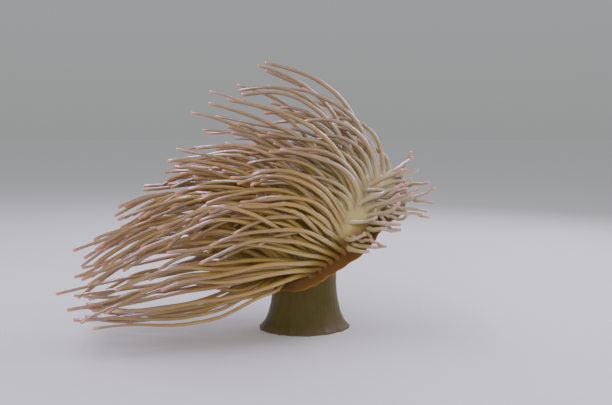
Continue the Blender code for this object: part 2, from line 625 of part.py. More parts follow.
def choose(lobes, lines, rad, lengths, flat, tree):
    """Grows an even, outline-keeping share of the tentacles on the lobes."""
    spare = []
    for n in range(len(flat)):
        if lines[n, :, 2].min() < 0.004:
            continue
        for lobe in lobes:
            if lobe.holds(*flat[n], rad[n, 0] * 1.05 + 0.0009):
                t = Tentacle(n, lines[n], rad[n], lengths[n], flat[n])
                off = []
                for p, r in zip(t.fine[14:], t.fine_r[14:]):
                    hit, nrm, _, dist = tree.find_nearest(Vector(p), 0.02)
                    if hit is not None:
                        off.append((Vector(p) - hit).dot(nrm) - r)
                if not off or min(off) > 0.0008:
                    t.lobe = lobe
                    spare.append(t)
    tips = np.array([t.tip for t in spare])
    want = []
    for k in range(24):
        a = k / 24 * 2 * math.pi
        for d in ((math.cos(a), 0, math.sin(a)), (0, math.cos(a), math.sin(a)), (math.cos(a), math.sin(a), 0)):
            best = int(np.argmax(tips @ np.array(d)))
            if best not in want:
                want.append(best)
    taken, spent = [], 0
    apart = np.full(len(spare), 1.0)
    roots3 = np.array([t.line[0] for t in spare])
    mids = np.array([t.fine[50] for t in spare])

    def take(k):
        nonlocal spent, apart
        t = spare[k]
        if any(not t.clear_of(spare[o], 0.0007) for o in taken):
            apart[k] = -1.0
            return
        taken.append(k)
        spent += t.cost
        d = np.linalg.norm(roots3 - roots3[k], axis=-1)
        d = d + 0.25 * np.linalg.norm(mids - mids[k], axis=-1) + 0.25 * np.linalg.norm(tips - tips[k], axis=-1)
        apart = np.where(apart < 0, apart, np.minimum(apart, d))
        apart[k] = -1.0

    for k in want:
        take(k)
    while spent < TENTACLE_FACES and apart.max() > 0:
        take(int(np.argmax(apart)))
    for k in taken:
        spare[k].lobe.grown.append(spare[k])
    return len(taken)


def main():
    olive = material("column_skin", (0.130, 0.100, 0.045), 0.55)
    sole = material("foot_skin", (0.095, 0.075, 0.040), 0.60)
    lip = material("lip_skin", (0.330, 0.270, 0.150), 0.40)
    near = material("inner_tentacle_skin", (0.330, 0.210, 0.105), 0.38, 0.2)
    far = material("outer_tentacle_skin", (0.290, 0.165, 0.080), 0.38, 0.2)
    body_solids(olive, sole)
    mouth_solid(lip)
    lobes = []
    step = SPOKES // INNER_LOBES
    for k in range(INNER_LOBES):
        lobes.append(Lobe(f"inner_lobe_{k + 1}", MOUTH_RHO, CUT_RHO, k * step, (k + 1) * step, False))
    step = SPOKES // OUTER_LOBES
    for k in range(OUTER_LOBES):
        lobes.append(Lobe(f"outer_lobe_{k + 1:02d}", CUT_RHO, 1.0, k * step, (k + 1) * step, True))
    tree = body_tree()
    lines, rad, lengths, lee, flat = animal()
    choose(lobes, lines, rad, lengths, flat, tree)
    for lobe in lobes:
        lobe.build(far if lobe.margin else near)


main()
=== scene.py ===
import math

import bpy
import numpy as np
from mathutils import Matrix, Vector
from mathutils.bvhtree import BVHTree
from mathutils.geometry import delaunay_2d_cdt


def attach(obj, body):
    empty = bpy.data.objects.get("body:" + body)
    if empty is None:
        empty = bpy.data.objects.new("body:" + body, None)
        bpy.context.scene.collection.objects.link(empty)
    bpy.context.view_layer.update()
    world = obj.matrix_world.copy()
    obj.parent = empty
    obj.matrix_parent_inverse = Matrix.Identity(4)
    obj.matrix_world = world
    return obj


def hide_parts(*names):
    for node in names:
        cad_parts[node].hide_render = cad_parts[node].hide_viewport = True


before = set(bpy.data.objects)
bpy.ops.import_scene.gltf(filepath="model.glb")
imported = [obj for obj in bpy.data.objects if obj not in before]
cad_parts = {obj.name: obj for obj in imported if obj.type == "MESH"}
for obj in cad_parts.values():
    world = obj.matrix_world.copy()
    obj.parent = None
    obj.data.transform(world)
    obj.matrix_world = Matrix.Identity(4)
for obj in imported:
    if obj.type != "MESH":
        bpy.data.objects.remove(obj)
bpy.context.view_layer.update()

# The anemone's form: the same sizes and rules as the solids, with every tentacle.
# ---------------------------------------------------------------- driving dimensions (metres)
PEDAL_R = 0.0445        # radius of the foot where it grips the ground
PEDAL_H = 0.010         # height of the flared foot
COLUMN_R = 0.0335       # radius of the column at its waist
JOIN_Z = 0.045          # height where the column opens into the calyx
JOIN_TILT = 0.014       # rise of that join towards the high side of the disc
DISC_R = 0.0930         # radius of the oral disc
DISC_C = (0.0170, 0.0, 0.1075)   # middle of the disc's chord plane
DISC_RISE = math.radians(28.5)   # the disc climbs towards +X
DISC_NOD = math.radians(15.0)    # and faces down towards -Y
DOME = 0.0250           # crown of the oral disc above its edge
ROLL = 0.0085           # how far the margin turns down
WAVE = 0.0055           # folds of the margin
DISC_T = 0.0080         # thickness of the oral disc
RIM_RHO = 0.985         # where the margin's rounding starts
RIM_THIN = 0.40         # share of its thickness that the disc loses at the margin
MOUTH_RHO = 0.15        # the bare lips at the centre

TENTACLES = 378
FRINGE = 26             # extra small ones along the near, low margin
FAR_FRINGE = 28         # and along the rest of the margin
ROOT_RHO0, ROOT_RHO1 = 0.205, 0.945   # tentacles grow between these radii
ROOT_R, MID_R, TIP_R = 0.0036, 0.00207, 0.00161   # tentacle radii at the root, halfway and at the tip
POINTS = 36             # points along each tentacle's centre line
GAP = 0.0008            # clear space kept between neighbours
REACH = (               # by height of the root: full length, then elevation at 0, 1/4, 1/2, 3/4 and 1
    (0.00, 0.178, 4, -7, -13, -13, -8),
    (0.15, 0.188, 36, 11, -14, -28, -25),
    (0.30, 0.168, 60, 36, -4, -31, -35),
    (0.45, 0.126, 69, 47, 9, -14, -23),
    (0.65, 0.104, 71, 50, 20, 2, -3),
    (0.85, 0.118, 76, 50, 26, 11, 3),
    (1.00, 0.121, 106, 84, 45, 16, 1),
)
GOLDEN = math.pi * (3.0 - math.sqrt(5.0))

_n0 = np.array([-math.sin(DISC_RISE), 0.0, math.cos(DISC_RISE)])
E1 = np.array([math.cos(DISC_RISE), 0.0, math.sin(DISC_RISE)])
AXIS = _n0 * math.cos(DISC_NOD) - np.array([0, 1.0, 0]) * math.sin(DISC_NOD)
E2 = np.array([0, 1.0, 0]) * math.cos(DISC_NOD) + _n0 * math.sin(DISC_NOD)


def smooth(lo, hi, x):
    t = np.clip((np.asarray(x, float) - lo) / (hi - lo), 0, 1)
    return t * t * (3 - 2 * t)


def unit(v):
    v = np.asarray(v, float)
    return v / np.maximum(np.linalg.norm(v, axis=-1, keepdims=True), 1e-12)


# ---------------------------------------------------------------- the body's surface
def disc(rho, th, h=0.0):
    """A point of the oral disc at polar place rho, th, moved h along the disc's axis."""
    rho, th = np.broadcast_arrays(np.asarray(rho, float), np.asarray(th, float))
    rad = DISC_R * rho * (1 + rho * (0.040 * np.sin(3 * th + 1.1) + 0.020 * np.sin(5 * th + 0.3)))
    fold = 0.6 * np.sin(5 * th + 0.7) + 0.4 * np.sin(8 * th + 2.2)
    roll = ROLL * (1.0 + 0.45 * np.sin(-th - 0.9))
    lift = DOME * (1 - rho**2.4) - roll * rho**9 + WAVE * rho**3 * fold + h
    p = (rad * np.cos(th))[..., None] * E1 + (rad * np.sin(th))[..., None] * E2
    return np.array(DISC_C) + p + lift[..., None] * AXIS


def disc_xy(x, y, h=0.0):
    return disc(np.hypot(x, y) / DISC_R, np.arctan2(y, x), h)


def under(rho):
    """Depth of the disc's underside below its face."""
    return -DISC_T * (1 - RIM_THIN * smooth(0.80, 1.0, rho))


def disc_normal(x, y):
    e = 0.0003
    a = disc_xy(x + e, y) - disc_xy(x - e, y)
    b = disc_xy(x, y + e) - disc_xy(x, y - e)
    return unit(np.cross(a, b))


def column_ring(z, th, grow=0.0):
    """The column and foot: its outline at height z."""
    z, th = np.broadcast_arrays(np.asarray(z, float), np.asarray(th, float))
    flare = (PEDAL_R - COLUMN_R) * np.exp(-z / 0.0110)
    lump = 1 + 0.022 * np.sin(2 * th + 0.5 + 12 * z) + 0.018 * np.sin(3 * th + 2.0)
    foot = 1 + 0.05 * np.sin(4 * th + 0.8) * np.exp(-z / 0.006)
    r = (COLUMN_R + 0.0015 * np.cos(math.pi * z / 0.05)) * lump + flare * foot + grow
    return np.stack([r * np.cos(th) + 0.001, r * np.sin(th), z], -1)


def join_z(th):
    return JOIN_Z + JOIN_TILT * np.cos(th + 0.35)


def column(t, th):
    """t 0 at the foot's edge on the ground, 1 at the join with the calyx."""
    return column_ring(np.asarray(t) * join_z(th), th)


def calyx(t, th, rho=0.90, h=None):
    """The flaring underside, from the join (t 0) out to the disc's margin (t 1)."""
    t, th = np.broadcast_arrays(np.asarray(t, float), np.asarray(th, float))
    h = under(rho) if h is None else h
    a = column_ring(join_z(th), th)
    d = disc(rho, th, h)
    inner = disc(rho - 0.16, th, h - 0.004)
    far = np.linalg.norm(d - a, axis=-1)[..., None]
    up = np.array([0, 0, 1.0])
    b = a + up * far * 0.34
    c = d + unit(inner - d) * far * 0.42
    t = t[..., None]
    return (1 - t)**3 * a + 3 * (1 - t)**2 * t * b + 3 * (1 - t) * t**2 * c + t**3 * d


def body_tree(nth=96):
    """The whole body as one coarse surface, for keeping tentacles off it."""
    th = np.arange(nth) / nth * 2 * math.pi
    rings = [disc(r, th) for r in np.linspace(0.02, RIM_RHO, 26)]
    for a in (0.35, 0.65, 1.0):
        rings.append(disc(RIM_RHO + (1 - RIM_RHO) * math.sin(a * math.pi), th, under(1.0) * a))
    rings += [calyx(t, th) for t in np.linspace(0.97, 0.0, 14)]
    rings += [column(t, th) for t in np.linspace(0.95, 0.0, 10)]
    v = np.concatenate(rings)
    faces = []
    for i in range(len(rings) - 1):
        for j in range(nth):
            k = (j + 1) % nth
            faces.append((i * nth + j, (i + 1) * nth + j, (i + 1) * nth + k, i * nth + k))
    return BVHTree.FromPolygons([tuple(p) for p in v], faces)


# ---------------------------------------------------------------- where the tentacles grow
def roots():
    """Even, spiral places on the disc, then pushed apart a little: (x, y) in the flat disc."""
    i = np.arange(TENTACLES)
    rho = np.sqrt(ROOT_RHO0**2 + (ROOT_RHO1**2 - ROOT_RHO0**2) * (i + 0.5) / TENTACLES)
    th = i * GOLDEN
    p = np.stack([rho * np.cos(th), rho * np.sin(th)], -1) * DISC_R
    th = np.radians(np.concatenate([np.linspace(-158, -42, FRINGE), np.linspace(-28, 172, FAR_FRINGE)]))
    p = np.concatenate([p, ROOT_RHO1 * DISC_R * np.stack([np.cos(th), np.sin(th)], -1)])
    for _ in range(60):
        d = p[:, None] - p[None]
        far = np.linalg.norm(d, axis=-1) + np.eye(len(p))
        r = np.linalg.norm(p, axis=-1)
        want = 0.0090 - 0.0024 * smooth(0.80, 0.92, r / DISC_R) * (0.6 + 0.4 * smooth(0.005, 0.040, -p[:, 1]))
        push = np.clip(0.5 * (want[:, None] + want[None]) - far, 0, None) / far
        np.fill_diagonal(push, 0)
        p = p + 0.3 * (d * push[..., None]).sum(1)
        r = np.linalg.norm(p, axis=-1)
        p *= (np.clip(r, ROOT_RHO0 * DISC_R, ROOT_RHO1 * DISC_R) / r)[:, None]
    return p


def rough(i, k):
    """A fixed scatter number from -1 to 1 for tentacle i and purpose k."""
    v = np.sin(np.asarray(i, float) * 12.9898 + k * 78.233) * 43758.5453
    return 2 * (v - np.floor(v)) - 1


def eddy(p):
    """The swirl of the current at the points p, as a small sideways push."""
    x, y, z = p[..., 0], p[..., 1], p[..., 2]
    u = np.sin(58 * x + 31 * z + 1.3) * np.cos(47 * y + 0.4) + 0.6 * np.sin(88 * z - 53 * x + 64 * y)
    v = np.sin(49 * z + 37 * y + 2.1) * np.cos(61 * x - 0.8) + 0.6 * np.sin(71 * x + 79 * z + 1.9)
    return np.stack([0 * u, u, v], -1)


# ---------------------------------------------------------------- how each one lies in the current
def lay_out():
    """Centre lines (n, POINTS, 3), radii (n, POINTS) and lengths of all the tentacles."""
    flat = roots()
    x, y = flat[:, 0], flat[:, 1]
    n = len(x)
    i = np.arange(n)
    p0, n0 = disc_xy(x, y), disc_normal(x, y)
    rho, th = np.hypot(x, y) / DISC_R, np.arctan2(y, x)
    out = np.cos(th)[:, None] * E1 + np.sin(th)[:, None] * E2
    # lee lobe: the short tentacles beyond the parting on the high side
    side_x = 0.83 * x - 0.555 * y - 0.0610
    lee = side_x + 0.0035 * rough(i, 9) > 0
    # on the far part of the lee margin, some of the outermost ones hang over the edge
    hang = (rho > 0.90) & (th > -0.25) & (th < 1.25) & (rough(i, 19) > -0.1) & ~lee
    lee = lee | hang
    height = np.clip((p0[:, 2] - 0.056) / 0.104, 0, 1)
    table = np.array(REACH)
    length = np.interp(height, table[:, 0], table[:, 1]) * (1 + 0.08 * rough(i, 1) + (rough(i, 8) > np.interp(height, [0.5, 0.66, 0.8], [0.5, 0.72, 0.46])) * (0.03 + 0.38 * smooth(0.35, 0.72, height)))
    length *= 1 - 0.28 * smooth(0.070, 0.100, p0[:, 0])
    length *= 1 - 0.36 * smooth(0.85, 0.93, rho) * smooth(0.01, 0.06, -y) * smooth(-0.03, 0.03, x)
    few = np.interp(height, [0, 0.3, 0.6, 1.0], [0.12, 0.18, 0.50, 0.56]) + 0.18 * smooth(0.03, 0.07, -y)
    length *= np.where(rough(i, 2) > 1 - 2 * few, 0.54 + 0.22 * rough(i, 3), 1.0)
    short = np.interp(p0[:, 2], [0.085, 0.105, 0.130, 0.152], [0.036, 0.051, 0.055, 0.042]) - 0.008 * smooth(0.62, 0.90, rho)
    length = np.where(lee, 0.90 * short * (1 + 0.18 * rough(i, 1)), length)

    keys = np.linspace(0, 1, table.shape[1] - 2)
    bend = np.stack([np.interp(height, table[:, 0], table[:, c]) for c in range(2, table.shape[1])], -1)
    loose = 0.55 + 0.45 * smooth(0.1, 0.4, height)
    bend = bend + np.stack([loose * (5 * rough(i, 40 + c) + 16 * rough(i, 5) * (c / 4)) for c in range(5)], -1)
    # those on the near, low margin lean out over it
    over = smooth(0.82, 0.92, rho) * smooth(0.015, 0.05, -y) * smooth(0.045, 0.02, x)
    drape = over * smooth(0.015, -0.035, x)
    bend = bend - over[:, None] * np.array([26, 10, -6, -12, -12]) - drape[:, None] * np.array([24, 14, -4, -9, -9])
    bend = np.radians(bend)
    spread = np.clip(y / DISC_R, -1, 1)
    az0 = np.radians(6 * rough(i, 7) + 20 * spread)
    az1 = np.radians(13 * rough(i, 6) + 6 * spread)
    pts = np.zeros((n, POINTS, 3))
    pts[:, 0] = p0
    step = length / (POINTS - 1)
    scat = np.stack([rough(i, 11), rough(i, 12), rough(i, 13)], -1)
    fan = np.interp(p0[:, 2], [0.085, 0.105, 0.122, 0.138, 0.152], [8, 3, -3, 2, 32])
    fan = fan - smooth(0.74, 0.92, rho) * np.interp(p0[:, 2], [0.085, 0.105, 0.138, 0.152], [0, 6, 12, 0])
    fan = np.radians(np.where(hang, -34, fan) + 13 * rough(i, 11))
    turn = np.radians(np.where(hang, np.degrees(th) * 0.9, -16 + 38 * spread) + 20 * rough(i, 12))
    lee_dir = np.stack([np.cos(fan) * np.cos(turn), np.cos(fan) * np.sin(turn), np.sin(fan)], -1)
    for k in range(POINTS - 1):
        s = k / (POINTS - 1)
        c = min(int(s * 4), 3)
        f = s * 4 - c
        el = bend[:, c] * (1 - f) + bend[:, c + 1] * f
        az = az0 + (az1 - az0) * smooth(0.1, 0.8, s)
        flow = np.stack([-np.cos(el) * np.cos(az), np.cos(el) * np.sin(az), np.sin(el)], -1)
        w = smooth(-0.02, 0.24, s + 0.14 * over + 0.05 * drape)[:, None]
        d = unit((1 - w) * n0 + w * flow)
        lift = np.stack([-0.12 + 0 * x, 0 * x, np.interp(p0[:, 2], [0.090, 0.115, 0.140], [0.35, 0.46, 0.60])], -1)
        lift = lift * np.where(hang, -0.3, 1.0)[:, None]
        curl = unit(lee_dir + s * s * (lift + 0.55 * scat[:, ::-1]))
        dl = unit((1 - smooth(-0.1, 0.34, s * length / 0.060))[:, None] * n0 + (0.42 + smooth(0, 0.4, s)) * curl)
        d = np.where(lee[:, None], dl, d)
        # a slow swing from side to side, some of it shared with the neighbours
        w = 2 * math.pi * (s * (1.0 + 0.5 * rough(i, 14)) + rough(i, 15))
        swing = (0.12 + 0.06 * rough(i, 16)) * smooth(0.1, 0.5, s) * np.where(lee, 1.6, 1.0)
        d = unit(
            d
            + (swing * np.sin(w))[:, None] * np.array([0, 0.8, 0.0])
            + (swing * np.cos(w * 0.8 + 1))[:, None] * np.array([0, 0.0, 0.6])
            + 0.13 * float(smooth(0.15, 0.6, s)) * eddy(pts[:, k])
        )
        pts[:, k + 1] = pts[:, k] + d * step[:, None]
    s = np.linspace(0, 1, POINTS)
    slim = np.interp(s, [0, 0.6, 0.93, 1.0], [0.00245, MID_R, TIP_R, TIP_R * 1.12])[None] * np.where(lee, 0.96, 1.0)[:, None]
    root_r = (ROOT_R - 0.00245) * (1 - 0.75 * smooth(0.80, 0.92, rho))
    rad = slim + root_r[:, None] * np.exp(-s[None] * length[:, None] / np.where(lee, 0.006, 0.013)[:, None])
    rad = rad * (1 + 0.09 * rough(i, 17))[:, None]
    return pts, rad, length, lee, flat


def near_pairs(p, cell):
    """Pairs of points closer than about cell, by sorting them into a grid."""
    q = np.floor(p / cell).astype(np.int64)
    q -= q.min(0) - 1
    dims = q.max(0) + 2
    key = (q[:, 0] * dims[1] + q[:, 1]) * dims[2] + q[:, 2]
    order = np.argsort(key, kind="stable")
    ks = key[order]
    every = np.arange(len(p))
    ai, aj = [], []
    for dx in (-1, 0, 1):
        for dy in (-1, 0, 1):
            for dz in (-1, 0, 1):
                if (dx, dy, dz) < (0, 0, 0):
                    continue
                kk = key + (dx * dims[1] + dy) * dims[2] + dz
                lo = np.searchsorted(ks, kk, "left")
                cnt = np.searchsorted(ks, kk, "right") - lo
                first = np.repeat(lo - (np.cumsum(cnt) - cnt), cnt)
                i = np.repeat(every, cnt)
                j = order[np.arange(cnt.sum()) + first]
                if (dx, dy, dz) == (0, 0, 0):
                    keep = i < j
                    i, j = i[keep], j[keep]
                ai.append(i)
                aj.append(j)
    return np.concatenate(ai), np.concatenate(aj)


def settle(pts, rad, tree, rounds=56, floor=0.0035):
    """Pushes the tentacles off each other, off the body and off the ground, keeping their lengths."""
    n, m, _ = pts.shape
    home = pts.copy()
    seg = np.linalg.norm(np.diff(pts, axis=1), axis=-1)
    owner = np.repeat(np.arange(n), m)
    r = rad.reshape(-1)
    s = np.linspace(0, 1, m)
    free = smooth(0.0, 0.16, s)[None, :, None]
    cell = 2 * rad[:, 3:].max() + GAP + 0.0012
    for it in range(rounds):
        flat = pts.reshape(-1, 3)
        i, j = near_pairs(flat, cell)
        keep = owner[i] != owner[j]
        i, j = i[keep], j[keep]
        d = flat[i] - flat[j]
        far = np.linalg.norm(d, axis=-1)
        bite = r[i] + r[j] + GAP + 0.0004 - far
        keep = bite > 0
        i, j, d, far, bite = i[keep], j[keep], d[keep], far[keep], bite[keep]
        way = d / np.maximum(far, 1e-6)[:, None] * (0.5 * bite)[:, None]
        push = np.zeros_like(flat)
        for a in range(3):
            push[:, a] = np.bincount(i, way[:, a], n * m) - np.bincount(j, way[:, a], n * m)
        push = push.reshape(n, m, 3)
        size = np.linalg.norm(push, axis=-1, keepdims=True)
        push *= np.minimum(1, 0.0016 / np.maximum(size, 1e-9))
        for _ in range(3):
            push[:, 1:-1] = 0.25 * push[:, :-2] + 0.5 * push[:, 1:-1] + 0.25 * push[:, 2:]
        pts = pts + 1.25 * push * free
        pts += 0.012 * (home - pts) * free
        bend = np.zeros_like(pts)
        bend[:, 1:-1] = 0.5 * (pts[:, :-2] + pts[:, 2:]) - pts[:, 1:-1]
        pts += 0.10 * bend * free
        if it % 3 == 2 or it > rounds - 4:
            for a in range(n):
                for b in range(3, m, 2 if it < rounds - 4 else 1):
                    v = Vector(pts[a, b])
                    hit, nrm, _, dist = tree.find_nearest(v, 0.012)
                    if hit is None:
                        continue
                    depth = (v - hit).dot(nrm)
                    need = rad[a, b] + 0.0008 - depth
                    if need > 0 and abs(abs(depth) - dist) < 0.002:
                        pts[a, b] += np.array(nrm) * min(need, 0.002)
        low = pts[..., 2] - rad - floor
        pts[..., 2] = np.where(low < 0, pts[..., 2] - 0.6 * low, pts[..., 2])
        dirs = unit(np.diff(pts, axis=1))
        pts = np.concatenate([home[:, :1], home[:, :1] + np.cumsum(dirs * seg[..., None], axis=1)], axis=1)
    return pts


def clear_ones(pts, rad, lengths, tree, fine=120):
    """Marks the tentacles to keep, so that none passes through another or through the body."""
    n, m, _ = pts.shape
    s, at = np.linspace(0, 1, fine), np.linspace(0, 1, m)
    p = np.stack([np.stack([np.interp(s, at, pts[k, :, a]) for a in range(3)], -1) for k in range(n)]).reshape(-1, 3)
    r = np.concatenate([np.interp(s, at, rad[k]) for k in range(n)])
    owner = np.repeat(np.arange(n), fine)
    far_out = np.tile(s, n) * np.repeat(lengths, fine)
    i, j = near_pairs(p, 2.1 * rad[:, 3:].max())
    ok = (owner[i] != owner[j]) & (far_out[i] > 0.006) & (far_out[j] > 0.006)
    i, j = i[ok], j[ok]
    ok = np.linalg.norm(p[i] - p[j], axis=-1) < 0.90 * (r[i] + r[j])
    clash = np.zeros((n, n), bool)
    clash[owner[i[ok]], owner[j[ok]]] = True
    clash |= clash.T
    keep = np.ones(n, bool)
    for k in range(n):
        for b in range(4, m):
            v = Vector(pts[k, b])
            hit, nrm, _, _ = tree.find_nearest(v, 0.01)
            if b * lengths[k] / (m - 1) > 0.010 and hit is not None and (v - hit).dot(nrm) < 0.45 * rad[k, b]:
                keep[k] = False
    while True:
        c = (clash & keep[:, None] & keep[None]).sum(1)
        if c.max() == 0:
            return keep
        keep[np.lexsort((lengths, -c))[0]] = False


def animal():
    """The settled tentacles: centre lines, radii, lengths, lee ones and root places in the flat disc."""
    pts, rad, lengths, lee, flat = lay_out()
    # the lee lobe and the far crest of the crown are looser than the rest
    i = np.arange(len(flat))
    airy = ~lee & (pts[:, 0, 2] > 0.132) & (flat[:, 1] > -0.015) & (rough(i, 23) > 0.28)
    stay = ~(airy | (lee & (rough(i, 21) > 0.55)))
    pts, rad, lengths, lee, flat = pts[stay], rad[stay], lengths[stay], lee[stay], flat[stay]
    tree = body_tree()
    pts = settle(pts, rad, tree)
    keep = clear_ones(pts, rad, lengths, tree)
    return pts[keep], rad[keep], lengths[keep], lee[keep], flat[keep]


# ---------------------------------------------------------------- the one skin
SIDES = 8               # points round a tentacle
RIM_N = 192             # points round the margin, calyx, column and foot
LIP_N = 48              # points round the mouth
FILL = 0.0042           # spacing of the disc's own points between the tentacles
STEP = 0.0086           # spacing of the rings along a tentacle


class Skin:
    """Collects points, faces and the values that the material reads at each point."""

    def __init__(self):
        self.v, self.f, self.uv = [], [], []
        self.count = 0
        self.value = {k: [] for k in ("along", "root", "tip", "tone", "zone", "lips", "high", "lee", "round", "edge")}

    def add(self, pts, **val):
        pts = np.atleast_2d(pts)
        first = self.count
        self.v.append(pts)
        for k, store in self.value.items():
            store.append(np.broadcast_to(np.asarray(val.get(k, 0.0), float), (len(pts),)).copy())
        self.count += len(pts)
        return np.arange(first, self.count)


def grid_faces(skin, rows, box, closed=True, flip=False, vs=None):
    """Quads between neighbouring rows of point numbers, laid out in the box of the UV square."""
    m = len(rows[0])
    u0, v0, u1, v1 = box
    vs = np.linspace(0, 1, len(rows)) if vs is None else vs
    for r in range(len(rows) - 1):
        a, b = rows[r], rows[r + 1]
        for j in range(m if closed else m - 1):
            k = (j + 1) % m
            face = (a[j], a[k], b[k], b[j])
            ua, ub = u0 + (u1 - u0) * j / m, u0 + (u1 - u0) * (j + 1) / m
            va, vb = v0 + (v1 - v0) * vs[r], v0 + (v1 - v0) * vs[r + 1]
            uv = [(ua, va), (ub, va), (ub, vb), (ua, vb)]
            if flip:
                face, uv = face[::-1], uv[::-1]
            skin.f.append(face)
            skin.uv.append(uv)


def furrows(th, depth, zone):
    """Fine lengthwise furrows and cross wrinkles of the column's skin, in metres outward."""
    lengthwise = 0.5 * np.sin(48 * th + 1.2 * np.sin(5 * th)) + 0.3 * np.sin(29 * th + 0.7 + 2.0 * zone)
    across = 0.35 * np.sin(95 * zone + 3.0 * np.sin(3 * th + 1.0)) + 0.25 * np.sin(61 * zone + 4.0 * np.sin(2 * th))
    return depth * (lengthwise + across)


def eased(lines, rad, lengths, lee):
    """Lifts the short lobe's tentacles off the rim, and slims a little those that would press on a neighbour."""
    body = body_tree()
    n, m, _ = lines.shape
    for k in np.flatnonzero(lee):
        d = np.linspace(0, lengths[k], m)
        for _ in range(6):
            lift = np.zeros((m, 3))
            for b in range(1, m):
                v = Vector(lines[k, b])
                hit, nrm, _, _ = body.find_nearest(v, 0.01)
                if hit is not None:
                    deep = rad[k, b] + 0.0002 - (v - hit).dot(nrm)
                    lift[b] = np.array(nrm) * min(max(deep, 0.0), 0.0012) * float(smooth(0.003, 0.009, d[b]))
            lift[1:-1] = 0.5 * lift[1:-1] + 0.25 * (lift[:-2] + lift[2:])
            lines[k] += lift
    fine = 160
    s, at = np.linspace(0, 1, fine), np.linspace(0, 1, m)
    p = np.stack([np.stack([np.interp(s, at, lines[k, :, a]) for a in range(3)], -1) for k in range(n)]).reshape(-1, 3)
    r = np.concatenate([np.interp(s, at, rad[k]) for k in range(n)])
    owner = np.repeat(np.arange(n), fine)
    far_out = np.tile(s, n) * np.repeat(lengths, fine)
    i, j = near_pairs(p, 2.1 * rad[:, 3:].max())
    ok = (owner[i] != owner[j]) & (far_out[i] > 0.006) & (far_out[j] > 0.006)
    i, j = i[ok], j[ok]
    ratio = np.linalg.norm(p[i] - p[j], axis=-1) / (1.02 * (r[i] + r[j]))
    share = np.ones(n)
    np.minimum.at(share, owner[i], ratio)
    np.minimum.at(share, owner[j], ratio)
    rad *= np.clip(share, 0.80, 1.0)[:, None]


def stem(line, rad, L, flat, ring, tone):
    """Distances, centres, radii and facing of a tentacle's rings, from just above the disc to the tip."""
    tip_r = rad[-1]
    d_rings = [0.0011, 0.0027, 0.0048, 0.0078]
    m = max(2, int(round((L - 0.0078 - 1.0 * tip_r) / STEP)))
    d_rings += list(0.0078 + (L - 0.0078 - 1.05 * tip_r) * (np.arange(1, m + 1) / m))
    swell = [0.0] * len(d_rings)
    caps = ((0.55, 0.86), (0.20, 0.56))
    at = np.linspace(0, L, POINTS)
    d = np.array(d_rings + [L - c * tip_r for c, _ in caps])
    c3 = np.stack([np.interp(d, at, line[:, a]) for a in range(3)], -1)
    r = np.interp(d, at, rad)
    r = r + (ring - rad[0]) * np.exp(-d / 0.0030)
    i = np.arange(len(d))
    r = r * (1 + 0.020 * np.sin(2.1 * i + 6 * tone) * (d > 0.01))
    for q, (_, f) in enumerate(caps):
        r[len(d_rings) + q] = tip_r * f
    way = np.gradient(c3, axis=0)
    way[-2:] = way[-3]
    way = unit(way)
    nrm = disc_normal(flat[0], flat[1])
    b = smooth(0.0, 0.0075, d)[:, None]
    plane = unit((1 - b) * nrm + b * way)
    c3 = c3 * b + (1 - b) * (line[0] + nrm * d[:, None])
    # the bend just above the root is spread over the first few rings, so that no ring folds over the next
    e = min(8, len(d) - 2)
    apart = np.linalg.norm(np.diff(c3, axis=0), axis=-1)
    bend = np.arccos(np.clip((plane[:-1] * plane[1:]).sum(-1), -1, 1))
    folds = (apart[:e - 1] < r[1:e] * np.sin(np.minimum(bend[:e - 1], 1.5))).any()
    for _ in range(3 * int(folds)):
        c3[1:e] = 0.5 * c3[1:e] + 0.25 * (c3[:e - 1] + c3[2:e + 1])
        plane[1:e] = unit(0.5 * plane[1:e] + 0.25 * (plane[:e - 1] + plane[2:e + 1]))
    apart = np.linalg.norm(np.diff(c3, axis=0), axis=-1)
    bend = np.arccos(np.clip((plane[:-1] * plane[1:]).sum(-1), -1, 1))
    room = 0.92 * apart / np.maximum(np.sin(np.minimum(bend, 1.5)), 1e-6)
    r[1:e] = np.minimum(r[1:e], np.maximum(room[:e - 1], 0.0014))
    r[:e - 1] = np.minimum(r[:e - 1], np.maximum(room[:e - 1], 0.0014))
    return d, c3, r, plane


